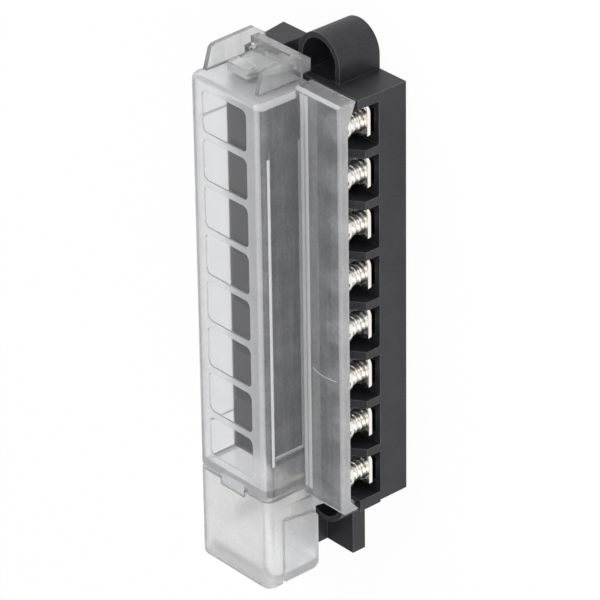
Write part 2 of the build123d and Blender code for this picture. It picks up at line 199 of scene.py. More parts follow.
def place_group(tree, group, **values):
    """Put a shared effect into a material with its own values."""
    node = tree.nodes.new("ShaderNodeGroup")
    node.node_tree = group
    for key, value in values.items():
        node.inputs[key.replace("_", " ")].default_value = value
    return node


# %% [markdown]
# ## Grain
# Moulded plastic and plated metal are never quite even. A mould leaves a fine grain, its flow
# leaves slow clouds of tone, and drawing the part out leaves streaks along it. Images could show
# this, but noise on the object's own coordinates has no seams and works at any scale. The
# streaks are the same noise, drawn out along the part by a Mapping node.

# %% The grain group
def build_grain():
    """Noise at two sizes, and streaks along the length of the part."""
    tree, start, end = group_tree("moulded_grain", [("Scale", 3000.0), ("Cloud scale", 120.0)],
                                  ["Height", "Cloud", "Streak"])
    place = add(tree, "ShaderNodeTexCoord")
    stretch = add(tree, "ShaderNodeMapping", Scale=(1.0, 0.04, 1.0))
    fine = add(tree, "ShaderNodeTexNoise", Detail=3.0, Roughness=0.6)
    cloud = add(tree, "ShaderNodeTexNoise", Detail=4.0, Roughness=0.55)
    streak = add(tree, "ShaderNodeTexNoise", Scale=700.0, Detail=3.0, Roughness=0.6)
    wire(tree, place, "Object", fine, "Vector")
    wire(tree, place, "Object", cloud, "Vector")
    wire(tree, place, "Object", stretch, "Vector")
    wire(tree, stretch, "Vector", streak, "Vector")
    wire(tree, start, "Scale", fine, "Scale")
    wire(tree, start, "Cloud scale", cloud, "Scale")
    wire(tree, fine, "Fac", end, "Height")
    wire(tree, cloud, "Fac", end, "Cloud")
    wire(tree, streak, "Fac", end, "Streak")
    return tree


GRAIN = build_grain()
print("group", GRAIN.name)

# %% [markdown]
# ## Edge wear
# Hands and tools rub the edges of black plastic pale. The wear could be painted, or found from
# the mesh's own curvature, but that depends on how fine the mesh is. The Bevel node gives a
# normal as if the edge were rounder, and where that departs from the true normal there is an
# edge, on any mesh. Noise breaks the line into patches.

# %% The edge wear group
def build_edge_wear():
    """A mask of worn edges, found from how a rounded normal departs from the true one."""
    tree, start, end = group_tree("edge_wear",
                                  [("Radius", 0.0004), ("Low", 0.01), ("High", 0.15)], ["Mask"])
    place = add(tree, "ShaderNodeTexCoord")
    flat = add(tree, "ShaderNodeNewGeometry")
    soft = add(tree, "ShaderNodeBevel", samples=4)
    agree = add(tree, "ShaderNodeVectorMath", operation="DOT_PRODUCT")
    depart = add(tree, "ShaderNodeMath", operation="SUBTRACT")
    depart.inputs[0].default_value = 1.0
    patches = add(tree, "ShaderNodeTexNoise", Scale=400.0, Detail=3.0)
    reach = add(tree, "ShaderNodeMapRange")
    mix = add(tree, "ShaderNodeMath", operation="MULTIPLY")
    wire(tree, start, "Radius", soft, "Radius")
    wire(tree, soft, "Normal", agree, 0)
    wire(tree, flat, "Normal", agree, 1)
    wire(tree, agree, "Value", depart, 1)
    wire(tree, depart, "Value", reach, "Value")
    wire(tree, start, "Low", reach, "From Min")
    wire(tree, start, "High", reach, "From Max")
    wire(tree, place, "Object", patches, "Vector")
    wire(tree, reach, "Result", mix, 0)
    wire(tree, patches, "Fac", mix, 1)
    wire(tree, mix, "Value", end, "Mask")
    return tree


EDGE_WEAR = build_edge_wear()
print("group", EDGE_WEAR.name)

# %% [markdown]
# ## What every finish shares
# Plastic or metal, each finish here ends in the same way. Its gloss is a little uneven, and its
# surface has a fine bump. Both could be flat values, but then a close view looks like a drawing.
# So the coarse noise drives the roughness between two values, and the fine noise the bump.

# %% The end of a finish
def surface(tree, grain, tone, rough, bump_strength, bump_depth, **settings):
    """A shader with its colour from a node, and its roughness and bump from the grain."""
    dull = add(tree, "ShaderNodeMapRange", To_Min=rough[0], To_Max=rough[1])
    bump = add(tree, "ShaderNodeBump", Strength=bump_strength, Distance=bump_depth)
    skin = add(tree, "ShaderNodeBsdfPrincipled", **settings)
    end = add(tree, "ShaderNodeOutputMaterial")
    wire(tree, grain, "Cloud", dull, "Value")
    wire(tree, grain, "Height", bump, "Height")
    wire(tree, tone, "Result", skin, "Base Color")
    wire(tree, dull, "Result", skin, "Roughness")
    wire(tree, bump, "Normal", skin, "Normal")
    wire(tree, skin, "BSDF", end, "Surface")


# %% [markdown]
# ## Black moulded plastic
# The base is charcoal, not pure black, with a fine matt speckle from its mould. A flat dark
# colour would look like a hole in the picture. So the fine and the coarse noise together choose
# between two dark tones, and the edge wear adds a paler one.

# %% Black plastic
DARK_TONE = (0.010, 0.0095, 0.013, 1)
LIGHT_TONE = (0.034, 0.033, 0.040, 1)
RUBBED_TONE = (0.24, 0.24, 0.25, 1)


def build_black():
    """Charcoal moulding with a fine speckle and rubbed edges."""
    material = new_material("black_moulding")
    tree = material.node_tree
    grain = place_group(tree, GRAIN, Scale=2600.0, Cloud_scale=90.0)
    wear = place_group(tree, EDGE_WEAR, Radius=0.00025, Low=0.005, High=0.10)
    speckle = add(tree, "ShaderNodeMath", operation="ADD")
    spread = add(tree, "ShaderNodeMapRange", From_Min=0.75, From_Max=1.25)
    tone = add(tree, "ShaderNodeMix", data_type="RGBA")
    tone.inputs["A"].default_value = DARK_TONE
    tone.inputs["B"].default_value = LIGHT_TONE
    rubbed = add(tree, "ShaderNodeMix", data_type="RGBA")
    rubbed.inputs["B"].default_value = RUBBED_TONE
    wire(tree, grain, "Cloud", speckle, 0)
    wire(tree, grain, "Height", speckle, 1)
    wire(tree, speckle, "Value", spread, "Value")
    wire(tree, spread, "Result", tone, "Factor")
    wire(tree, tone, "Result", rubbed, "A")
    wire(tree, wear, "Mask", rubbed, "Factor")
    surface(tree, grain, rubbed, (0.42, 0.58), 0.45, 0.04 * MM, IOR=1.5)
    return material


BLACK = build_black()
print("material", BLACK.name)

# %% [markdown]
# ## Clear plastic with a frost
# The cover and the cap are moulded in one clear plastic. Most of the outside is frosted by the
# mould, the flange and the finger grips are smoother and streaked, and the window panes and the
# inside are polished. Frost could be made by roughness alone, but then the dark base would show
# too strongly through two walls, so a frosted finish also lets less light through. The clouds,
# the streaks and the grain each darken the colour by their own depth, one after the other.

# %% Clear plastic
NOISE_LOW, NOISE_HIGH = 0.32, 0.68
CLEAR_BUMP = 0.03 * MM


def build_clear(name, colour, passes, rough, grain_scale, bump_strength,
                mottle=0.06, streaks=0.0, speckle=0.04):
    """Clear moulded plastic; passes is the share of light that goes through."""
    material = new_material(name)
    tree = material.node_tree
    grain = place_group(tree, GRAIN, Scale=grain_scale, Cloud_scale=190.0)
    last, socket = add(tree, "ShaderNodeRGB"), "Color"
    last.outputs[0].default_value = (*colour, 1)
    for effect, depth in (("Cloud", mottle), ("Streak", streaks), ("Height", speckle)):
        level = add(tree, "ShaderNodeMapRange", From_Min=NOISE_LOW, From_Max=NOISE_HIGH,
                    To_Min=1.0 - depth, To_Max=1.0)
        shade = add(tree, "ShaderNodeMix", data_type="RGBA", blend_type="MULTIPLY")
        shade.inputs["Factor"].default_value = 1.0
        wire(tree, grain, effect, level, "Value")
        wire(tree, last, socket, shade, "A")
        wire(tree, level, "Result", shade, "B")
        last, socket = shade, "Result"
    surface(tree, grain, last, rough, bump_strength, CLEAR_BUMP,
            IOR=1.49, Transmission_Weight=passes)
    return material


# %% [markdown]
# ## The finishes of the clear plastic
# Every zone could have a material of its own making, but one builder keeps them one family. The
# frosted zones come first, then the streaked and the polished ones. Last come the painted
# highlights: edges and the ridge let less light through, so that more of their white shows and
# they look lit. Without that the plastic looks like fog.

# %% Frosted finishes
FROSTED = build_clear("frosted_shell", (0.965, 0.97, 1.0), 0.56, (0.32, 0.38), 1400.0, 0.30,
                      mottle=0.08, speckle=0.11)
CAP = build_clear("milky_shell", (0.988, 0.99, 1.0), 0.54, (0.32, 0.38), 1400.0, 0.30,
                  mottle=0.09, speckle=0.12)
# Painted shade: a darker copy of the cap's plastic, for its side panel and its lower rim.
SHADED_PANEL = build_clear("painted_shade_panel", (0.80, 0.805, 0.82), 0.46, (0.32, 0.38), 1400.0, 0.30,
                    mottle=0.10, speckle=0.12)
UNDER = build_clear("matt_underside", (0.93, 0.94, 0.98), 0.92, (0.46, 0.52), 1500.0, 0.05)
HAZE = build_clear("hazy_side", (0.995, 0.995, 1.0), 0.98, (0.26, 0.34), 2200.0, 0.25,
                   mottle=0.05, streaks=0.06, speckle=0.05)
print("frosted", [finish.name for finish in (FROSTED, CAP, SHADED_PANEL, UNDER, HAZE)])

# %% Streaked finishes
SATIN = build_clear("satin_shell", (0.96, 0.97, 1.0), 0.80, (0.28, 0.36), 1100.0, 0.24,
                    mottle=0.26, streaks=0.26, speckle=0.26)
ROOT = build_clear("hazy_root", (0.96, 0.97, 1.0), 0.70, (0.28, 0.36), 1100.0, 0.24,
                   mottle=0.20, streaks=0.20, speckle=0.22)
LIP = build_clear("hazy_lip", (0.97, 0.97, 0.98), 0.62, (0.30, 0.36), 1100.0, 0.24,
                  mottle=0.10, streaks=0.12, speckle=0.14)
CLEAR = build_clear("clear_latch", (0.995, 0.997, 1.0), 0.77, (0.07, 0.15), 700.0, 0.22,
                    streaks=0.16, speckle=0.08)
print("streaked", [finish.name for finish in (SATIN, ROOT, LIP, CLEAR)])

# %% Polished finishes and painted highlights
PANE = build_clear("window_pane", (0.98, 0.985, 1.0), 0.91, (0.03, 0.06), 900.0, 0.03)
INSIDE = build_clear("polished_inside", (0.997, 0.998, 1.0), 1.0, (0.07, 0.10), 900.0, 0.05,
                     mottle=0.02, speckle=0.0)
# Painted highlight: the same plastic with less light through it, so that more of its white
# shows. Edges, the ridge, the scratch and the cap's rim line look lit.
EDGE_HIGHLIGHT = build_clear("painted_highlight_edge", (0.99, 0.99, 1.0), 0.48, (0.20, 0.26), 1500.0, 0.05)
RIDGE_HIGHLIGHT = build_clear("painted_highlight_ridge", (1.0, 1.0, 1.0), 0.30, (0.18, 0.24), 1500.0, 0.05)
print("polished and bright", [finish.name for finish in (PANE, INSIDE, EDGE_HIGHLIGHT, RIDGE_HIGHLIGHT)])

# %% [markdown]
# ## Plated metal
# The tabs and the bus bar are tinned brass, and the screws are zinc-plated steel. Both are
# bright, and the plating has a faint cast, warm in places and cool in others. A plain grey metal
# would look like chrome. Two tones that the coarse noise mixes give the cast, and the screws are
# rougher than the tabs.

# %% Plated metal
METAL_BUMP = 0.03 * MM


def build_metal(name, cool, warm, rough, bump_strength):
    """Bright plated metal with a fine grain and a slow change of cast."""
    material = new_material(name)
    tree = material.node_tree
    grain = place_group(tree, GRAIN, Scale=5200.0, Cloud_scale=260.0)
    cast = add(tree, "ShaderNodeMix", data_type="RGBA")
    cast.inputs["A"].default_value = (*cool, 1)
    cast.inputs["B"].default_value = (*warm, 1)
    wire(tree, grain, "Cloud", cast, "Factor")
    surface(tree, grain, cast, rough, bump_strength, METAL_BUMP, Metallic=1.0)
    return material


TINNED = build_metal("tinned_brass", (0.91, 0.90, 0.89), (0.97, 0.91, 0.80), (0.08, 0.14), 0.04)
ZINC = build_metal("zinc_steel", (0.92, 0.91, 0.90), (0.97, 0.92, 0.82), (0.26, 0.32), 0.03)
print("metals", TINNED.name, ZINC.name)

# %% [markdown]
# ## The base
# A moulded edge is never knife-sharp. The edges could be rounded in the model, but that costs
# many faces there for a radius of a fifth of a millimetre. So the copy of the base gets it here,
# on every sharp edge, and the edges catch the light as on the real one.

# %% Base
BASE_ROUND = 0.18 * MM

base = merged_copy("base", "base_moulding")
base.data.materials.append(BLACK)
round_edges(base, BASE_ROUND)
stand_for(base, "base", "base_body")
print("base faces", len(base.data.polygons))

# %% [markdown]
# ## The measures of the cover
# The cover is a raised box over the fuses, with a flange over the terminals on its right and a
# latch at its upper end. Its finishes depend on the place of a face. The places could stand in
# the rules as plain numbers, but with names the rules can be read. They are in the frame of the
# model, where X runs to the terminals, Y to the latch and Z to the front.

# %% Cover measures
NEAR = 0.12 * MM
WALL = 1.4 * MM
SHELL_ROUND = 0.20 * MM
BOX_HALF = 12.4 * MM
FRONT_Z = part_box("cover")[1].z
FLANGE_Z = 19.7 * MM
GRIP_LOW_Y, GRIP_HIGH_Y = -42.0 * MM, 38.4 * MM
ROOT_X = 18.3 * MM
print("front of the cover", FRONT_Z)

# %% [markdown]
# ## The seam
# Where the flange joins the box, the real cover has a flat seam of two low lines. The model has
# a round bead there. A new strip could be modelled over it, but moving the bead's own points is
# simpler and keeps the cover one closed shell. A point is on the bead when it is as far from the
# bead's axis as its radius, and its angle round the bead becomes its place across the seam.

# %% Seam
BEAD_RADIUS = 0.9 * MM
BEAD_NEAR = 0.02 * MM
BEAD_START = -0.01 * MM
SEAM_WIDTH = 2.8 * MM
SEAM_RISE = 0.30 * MM


def flatten_seam(piece):
    """Turn the round bead between box and flange into a low double seam."""
    for vertex in piece.data.vertices:
        spot = vertex.co
        across, up = spot.x - BOX_HALF, spot.z - FLANGE_Z
        on_bead = abs(math.hypot(across, up) - BEAD_RADIUS) < BEAD_NEAR
        if on_bead and min(across, up) > BEAD_START:
            turn = math.atan2(up, across) / (math.pi / 2)
            spot.x = BOX_HALF + SEAM_WIDTH * (1.0 - turn)
            spot.z = FLANGE_Z + SEAM_RISE * abs(math.sin(math.tau * turn))


# %% [markdown]
# ## Dividing long faces
# Some faces of the cover run its whole length and need two finishes: the flange is hazier near
# the box, and the painted highlight of the ridge is only as long as the finger grip. A texture
# could change the finish on the way, but a bisect is exact. It comes before the edges are
# rounded, because the normals are levelled then, and a later cut would bend them.

# %% Cuts
X_WAY = Vector((1, 0, 0))
Y_WAY = Vector((0, 1, 0))


def cut(piece, way, *places):
    """Divide the faces of a piece by planes across a direction."""
    for place in places:
        edit(piece, lambda: bpy.ops.mesh.bisect(plane_co=way * place, plane_no=way))


# %% [markdown]
# ## Which face gets which finish
# A finish could be given to each face by hand, but there are thousands, and a rule can be read
# and run again. It looks at the middle and the direction of a face, and the first line that fits
# names the finish. A rounded edge is known by its narrow faces that follow no axis.

# %% Finishes by a rule
EDGE_FACE_WIDTH = 0.16 * MM
ALONG_AXIS = 0.985


def on_rounded_edge(face, mesh):
    """Whether a face belongs to a small rounded edge."""
    corners = [mesh.vertices[index].co for index in face.vertices]
    rim = sum((a - b).length for a, b in zip(corners, corners[1:] + corners[:1]))
    narrow = 2 * face.area / rim < EDGE_FACE_WIDTH
    return narrow and max(abs(part) for part in face.normal) < ALONG_AXIS


def apply_finishes(piece, rule, finishes):
    """Give each face the finish that a rule names."""
    for finish in finishes:
        piece.data.materials.append(finish)
    for face in piece.data.polygons:
        face.material_index = finishes.index(rule(face, piece.data))


# %% How far a face leans
# How much of a face's normal lies along an axis, from 0, none of it, to 1, all of it.
SQUARE_ON = 0.99
STEEP = 0.94
FACING = 0.9
LEANING = 0.8
SLOPED = 0.6
HALF_UP = 0.5

# %% Where the finishes of the cover change
INNER_HALF = BOX_HALF - WALL + NEAR
CEILING_Z = FRONT_Z - WALL + NEAR
SPACE_LOW_Y, SPACE_HIGH_Y = -48.9 * MM, 50.9 * MM
END_WALL_X = BOX_HALF - MM
END_WALL_LOW_Y, END_WALL_HIGH_Y = -50.4 * MM, -48.6 * MM
PANE_Z = FRONT_Z - 0.4 * MM
PANE_HALF = 7.6 * MM
LEFT_X, LEFT_HIGH_Y = -BOX_HALF + 1.5 * MM, 52.1 * MM
GRIP_X = BOX_HALF - 0.7 * MM
GRIP_SIDE_X = BOX_HALF - 1.5 * MM
RIDGE_X = BOX_HALF - 0.3 * MM
RIDGE_Z = FRONT_Z - 2.7 * MM - NEAR
BESIDE_BOX_X = BOX_HALF + NEAR
SEAM_END_X = BOX_HALF + 2.9 * MM
FLANGE_HIGH_Z = FLANGE_Z + MM
FLANGE_UNDER_Z = FLANGE_Z - WALL + NEAR
FLANGE_END_Y = 52.0 * MM
LIP_EDGE_X, LIP_X, LIP_INNER_X = 24.0 * MM, 24.2 * MM, 24.4 * MM
LATCH_Y = 52.3 * MM
print("panes at", PANE_Z, "lip from", LIP_X, "latch from", LATCH_Y)

# %% The rule for the cover
def cover_finish(face, mesh):
    """The finish of a face of the cover."""
    spot, way = face.center, face.normal
    in_end_wall = spot.x < END_WALL_X and END_WALL_LOW_Y < spot.y < END_WALL_HIGH_Y
    in_space = abs(spot.x) < INNER_HALF and SPACE_LOW_Y < spot.y < SPACE_HIGH_Y
    under_flange = spot.x > BOX_HALF and spot.z < FLANGE_UNDER_Z and way.z < HALF_UP
    on_flange = spot.x > BESIDE_BOX_X and spot.z < FLANGE_HIGH_Z
    if in_end_wall and abs(way.y) > FACING:
        return INSIDE
    if in_space and spot.z < CEILING_Z:
        return INSIDE
    if under_flange and spot.x < LIP_INNER_X and abs(spot.y) < FLANGE_END_Y:
        return UNDER
    # Rounded edges get the painted highlight, except those on the lip.
    if on_rounded_edge(face, mesh):
        return LIP if spot.x > LIP_EDGE_X else EDGE_HIGHLIGHT
    if way.z > SQUARE_ON and abs(spot.z - PANE_Z) < NEAR and abs(spot.x) < PANE_HALF:
        return PANE
    if way.x < -LEANING and spot.x < LEFT_X and spot.y < LEFT_HIGH_Y:
        return HAZE
    if abs(way.x) > SQUARE_ON and abs(spot.x - GRIP_X) < NEAR:
        return SATIN
    # Along the finger grip the ridge gets the painted highlight.
    if way.x > STEEP and spot.x > RIDGE_X and spot.z > RIDGE_Z:
        return RIDGE_HIGHLIGHT if GRIP_LOW_Y < spot.y < GRIP_HIGH_Y else SATIN
    if way.x > SLOPED and GRIP_SIDE_X < spot.x < BESIDE_BOX_X:
        return ROOT if spot.y < GRIP_LOW_Y else SATIN
    if way.z > FACING and spot.x > SEAM_END_X and spot.z < FLANGE_Z + NEAR:
        return ROOT if spot.x < ROOT_X else SATIN
    if on_flange and abs(spot.y) > FLANGE_END_Y:
        return CLEAR
    # The flange's remaining faces get the painted highlight.
    if on_flange and spot.x < LIP_X:
        return EDGE_HIGHLIGHT
    if spot.x > LIP_X:
        return LIP
    if spot.y > LATCH_Y:
        return CLEAR
    return FROSTED


# %% [markdown]
# ## The scratch
# The real cover has one fine scratch across its flange, with a raised burr that catches the
# light. It could be a line in the bump, but then the mesh would lack it. So it is a
# Bezier curve with a round section, laid on the flange, turned to mesh and joined to the cover,
# and it lifts off with it.

# %% Scratch
SCRATCH_RADIUS = 0.12 * MM
SCRATCH_KNOTS = (((15.8, -16.6), (15.9, -17.1), (16.6, -18.5)),
                 ((22.0, -18.3), (24.1, -17.7), (24.4, -17.6)))


def add_scratch(piece):
    """Join a fine scratch with a raised burr to the cover, across its flange."""
    bpy.ops.curve.primitive_bezier_curve_add(location=(0, 0, 0))
    curve = bpy.context.object
    for knot, places in zip(curve.data.splines[0].bezier_points, SCRATCH_KNOTS):
        before, middle, after = [(x * MM, y * MM, FLANGE_Z) for x, y in places]
        knot.handle_left_type = knot.handle_right_type = "FREE"
        knot.co = middle
        knot.handle_left = before
        knot.handle_right = after
    curve.data.bevel_depth = SCRATCH_RADIUS
    curve.data.bevel_resolution = 2
    curve.data.use_fill_caps = True
    select_only(curve)
    bpy.ops.object.convert(target="MESH")
    curve = bpy.context.object
    # Painted highlight: the burr wears the edge finish, which lets less light through so that it
    # looks whiter.
    curve.data.materials.append(EDGE_HIGHLIGHT)
    bpy.ops.object.shade_smooth()
    select_only(curve, piece)
    bpy.ops.object.join()


# %% [markdown]
# ## The cover
# The real cover is one moulding, so it stays one piece here and is not split by finish. The
# steps come together in the only order that works: the seam while the bead's points are still
# known, the cuts, the rounded edges, the finishes, and the scratch last, with its own finish.

# %% Cover
cover = merged_copy("cover", "frosted_cover")
flatten_seam(cover)
cut(cover, X_WAY, ROOT_X)
cut(cover, Y_WAY, GRIP_LOW_Y, GRIP_HIGH_Y)
round_edges(cover, SHELL_ROUND)
apply_finishes(cover, cover_finish,
               [FROSTED, SATIN, PANE, INSIDE, CLEAR, UNDER, EDGE_HIGHLIGHT, LIP, ROOT, HAZE, RIDGE_HIGHLIGHT])
add_scratch(cover)
stand_for(cover, "cover", "cover_body")
print("cover faces", len(cover.data.polygons))

# %% [markdown]
# ## The end cap
# The cap over the feed stud is of the same plastic, a little milkier. Its walls are polished
# inside, so that the light of the floor comes through. Its side panel and its lower rim get a
# darker copy of the plastic, a painted shade. A line above the rim, the faces round the panel
# and the rounded edges get a painted highlight. The cap could share the cover's rule, but its
# own is shorter to read.

# %% The rule for the end cap
CAP_LEFT_X = -BOX_HALF + 2.2 * MM
CAP_SPACE_LOW_Y, CAP_SPACE_HIGH_Y = -73.0 * MM, -52.0 * MM
CAP_END_Y = -73.8 * MM
RIM_Y = -74.3 * MM
RIM_LINE_Y = RIM_Y + 0.3 * MM


def cap_finish(face, mesh):
    """The finish of a face of the end cap."""
    spot, way = face.center, face.normal
    inside = abs(spot.x) < INNER_HALF and spot.z < CEILING_Z
    if spot.x < CAP_LEFT_X and abs(way.x) > LEANING:
        return HAZE
    if inside and CAP_SPACE_LOW_Y < spot.y < CAP_SPACE_HIGH_Y:
        return INSIDE
    if inside and spot.y < CAP_END_Y and way.y < -FACING:
        return HAZE
    if on_rounded_edge(face, mesh):
        return EDGE_HIGHLIGHT
    # Beside the box, the side panel gets the painted shade and the faces round it get the
    # painted highlight.
    if spot.x > BESIDE_BOX_X:
        return SHADED_PANEL if way.x > FACING else EDGE_HIGHLIGHT
    # The lower rim gets the painted shade, and a thin line above it gets the painted highlight.
    if spot.y < RIM_Y:
        return SHADED_PANEL
    return EDGE_HIGHLIGHT if spot.y < RIM_LINE_Y else CAP


# %% End cap
cap = merged_copy("end_cap", "frosted_end_cap")
cut(cap, Y_WAY, RIM_Y, RIM_LINE_Y)
round_edges(cap, SHELL_ROUND)
apply_finishes(cap, cap_finish, [CAP, INSIDE, EDGE_HIGHLIGHT, SHADED_PANEL, HAZE])
stand_for(cap, "end_cap", "cap_body")
print("cap faces", len(cap.data.polygons))

# %% [markdown]
# ## Sheet metal
# Tabs, bar and washers are stamped, so their edges are only broken. They keep the form of the
# model, but each tab is settled a little towards the latch in its pocket, as in the photograph.
# The whole tab could be moved, but that would take it off its neck. So only the points beyond
# its flat middle move, and its rounded corners keep their shape.

# %% Terminal tabs
WAYS = range(1, 9)
SHEET_ROUND = 0.10 * MM
TAB_FLAT = 2.6 * MM
LATCH_SIDE, CAP_SIDE = 1.5, 0.56


def way_y(number):
    """The middle of a way along the row, from its screw in the model."""
    low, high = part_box(f"terminal_screw_{number}")
    return (low.y + high.y) / 2


def settle_tab(piece, middle):
    """Stretch a tab on the side of the latch and shrink it on the side of the cap."""
    for corner in piece.data.vertices:
        reach = corner.co.y - middle
        if reach > TAB_FLAT:
            corner.co.y = middle + TAB_FLAT + LATCH_SIDE * (reach - TAB_FLAT)
        elif reach < -TAB_FLAT:
            corner.co.y = middle - TAB_FLAT + CAP_SIDE * (reach + TAB_FLAT)


for number in WAYS:
    tab = merged_copy(f"load_contact_{number}", f"terminal_tab_{number}")
    tab.data.materials.append(TINNED)
    round_edges(tab, SHEET_ROUND)
    settle_tab(tab, way_y(number))
    stand_for(tab, f"load_contact_{number}", "base_body")
print("terminal tabs", len(WAYS))

# %% Bus bar and washers
FLAT_PARTS = (("bus_bar", "feed_bar", TINNED, "plated_brass"),
              ("feed_washer", "flat_washer", ZINC, "plated_steel"),
              ("feed_spring_washer", "split_washer", ZINC, "plated_steel"))

for node, name, finish, slot in FLAT_PARTS:
    part = merged_copy(node, name)
    part.data.materials.append(finish)
    round_edges(part, SHEET_ROUND)
    stand_for(part, node, "base_body")
print("bar and washers", len(FLAT_PARTS))

# %% [markdown]
# ## Threads
# A terminal screw has a coarse rolled thread. It could be a bump, but its outline shows against
# the black pocket, so it is a real ridge. The points of a plain circle are moved to the ridge's
# rounded outline, and the Screw modifier sweeps it along a helix. Then the two open ends are
# filled, so that the ridge is a closed shell.

# %% Thread
THREAD_STEPS = 28
RIDGE_OUTLINE = ((0.02, -0.2), (0.12, 0.35), (0.24, 0.74), (0.36, 0.94), (0.47, 1.0),
                 (0.58, 0.94), (0.70, 0.74), (0.82, 0.35), (0.92, -0.2))


def close_ends(piece):
    """Fill the open rims of a swept ridge and turn its faces outwards."""
    edit(piece,
         lambda: bpy.ops.mesh.select_all(action="DESELECT"),
         lambda: bpy.ops.mesh.select_non_manifold(
             extend=False, use_wire=False, use_boundary=True, use_multi_face=False,
             use_non_contiguous=False, use_verts=False),
         lambda: bpy.ops.mesh.edge_face_add(),
         lambda: bpy.ops.mesh.select_all(action="SELECT"),
         lambda: bpy.ops.mesh.quads_convert_to_tris(),
         lambda: bpy.ops.mesh.normals_make_consistent(inside=False))


def thread(name, core, crest, pitch, low, high):
    """A helical ridge round the Z axis, from low to high."""
    bpy.ops.mesh.primitive_circle_add(vertices=len(RIDGE_OUTLINE), radius=crest,
                                      fill_type="NOTHING")
    ridge = bpy.context.object
    ridge.name = name
    for vertex, (along, rise) in zip(ridge.data.vertices, RIDGE_OUTLINE):
        vertex.co = (core + rise * (crest - core), 0, low + along * pitch)
    select_only(ridge)
    helix = ridge.modifiers.new("helix", "SCREW")
    helix.axis = "Z"
    helix.angle = math.tau
    helix.screw_offset = pitch
    helix.iterations = int((high - low) / pitch)
    helix.steps = THREAD_STEPS
    helix.render_steps = THREAD_STEPS
    helix.use_merge_vertices = False
    bpy.ops.object.modifier_apply(modifier=helix.name)
    close_ends(ridge)
    return ridge


# %% [markdown]
# ## One screw
# The clamp screw is a rod with a thread round it and a low head with a straight slot. It could
# be turned in one go by the Spin tool, but a slot can't be spun. So the head starts as a
# cylinder, a bevel rounds it, and a Boolean cuts the slot. All of it is joined into one piece
# that stands on the Z axis, at the height where the screw belongs.

# %% Screw measures
screw_low, screw_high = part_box("terminal_screw_1")
SCREW_X = (screw_low.x + screw_high.x) / 2
HEAD_RADIUS = (screw_high.x - screw_low.x) / 2
HEAD_Z = screw_high.z - 1.7 * MM
HEAD_ROUND = 0.5 * MM
LOWER_RIM_Z = HEAD_Z + 0.6 * MM
LOWER_RIM_RADIUS = HEAD_RADIUS - 0.05 * MM
SLOT_LENGTH, SLOT_WIDTH, SLOT_DEPTH = 9 * MM, 1.0 * MM, 0.9 * MM
SCREW_RADIUS = 2.6 * MM
SCREW_CORE = SCREW_RADIUS - 0.30 * MM
SCREW_PITCH = 1.5 * MM
OVERLAP = 0.2 * MM
THREAD_SHADE = math.radians(35)
print("screw from", screw_low.z, "to", screw_high.z)

# %% Rod and joint
def rod(name, radius, low, high, sides=28):
    """A cylinder round the Z axis between two heights."""
    bpy.ops.mesh.primitive_cylinder_add(vertices=sides, radius=radius, depth=high - low,
                                        location=(0, 0, (low + high) / 2))
    piece = bpy.context.object
    piece.name = name
    select_only(piece)
    bpy.ops.object.transform_apply(location=True, rotation=True, scale=True)
    return piece


def join(pieces, name):
    """Join pieces into one mesh."""
    select_only(*pieces)
    bpy.ops.object.join()
    piece = bpy.context.object
    piece.name = name
    piece.data.name = name
    return piece


# %% Head and slot
def round_head(piece):
    """Round the rims of a head, and lay the lower one flat again."""
    bevel = piece.modifiers.new("dome", "BEVEL")
    bevel.width = HEAD_ROUND
    bevel.segments = 5
    bevel.limit_method = "ANGLE"
    select_only(piece)
    bpy.ops.object.modifier_apply(modifier=bevel.name)
    for vertex in piece.data.vertices:
        reach = math.hypot(vertex.co.x, vertex.co.y)
        if vertex.co.z < LOWER_RIM_Z and reach < LOWER_RIM_RADIUS:
            vertex.co.z = HEAD_Z


def cut_slot(piece, top):
    """Cut a straight slot along X into the top of a head."""
    bpy.ops.mesh.primitive_cube_add(size=1.0, location=(0, 0, top))
    tool = bpy.context.object
    tool.scale = (SLOT_LENGTH, SLOT_WIDTH, 2 * SLOT_DEPTH)
    select_only(piece)
    slot = piece.modifiers.new("slot", "BOOLEAN")
    slot.operation = "DIFFERENCE"
    slot.object = tool
    bpy.ops.object.modifier_apply(modifier=slot.name)
    bpy.data.objects.remove(tool)


# %% The first screw
head = rod("clamp_screw_1_head", HEAD_RADIUS, HEAD_Z, screw_high.z, sides=40)
round_head(head)
cut_slot(head, screw_high.z)
core = rod("clamp_screw_1_core", SCREW_CORE, screw_low.z, HEAD_Z + OVERLAP)
ridge = thread("clamp_screw_1_thread", SCREW_CORE, SCREW_RADIUS, SCREW_PITCH,
               screw_low.z, HEAD_Z)
first_screw = join([core, ridge, head], "clamp_screw_1")
first_screw.data.materials.append(ZINC)
bpy.ops.object.shade_smooth_by_angle(angle=THREAD_SHADE)
print("screw faces", len(first_screw.data.polygons))

# %% [markdown]
# ## Eight screws
# All eight terminal screws are alike. Linked copies would be lighter, but each screw has its
# place in its own mesh, so each copy gets a mesh of its own. The place comes from the screw's
# box in the model, and the object stays at the origin.

# %% Copies of the screw
def put(piece, x, y):
    """Move a mesh to its place, with the object left at the origin."""
    select_only(piece)
    piece.location = (x, y, 0)
    bpy.ops.object.transform_apply(location=True, rotation=False, scale=False)


screws = [first_screw]
for number in WAYS[1:]:
    twin = first_screw.copy()
    twin.data = first_screw.data.copy()
    twin.name = f"clamp_screw_{number}"
    bpy.context.scene.collection.objects.link(twin)
    screws.append(twin)
for number, screw in zip(WAYS, screws):
    put(screw, SCREW_X, way_y(number))
    stand_for(screw, f"terminal_screw_{number}", f"screw_body_{number}")
print("screws", len(screws))

# %% [markdown]
# ## Feed stud and nut
# The feed stud stands under the end cap, on a flat round head. Its thread is finer than the
# screws', and the same sweep makes it. The nut could be made anew too, but the model's shape is
# right, and a wider bevel gives its copy the chamfer that a lathe leaves on the corners.

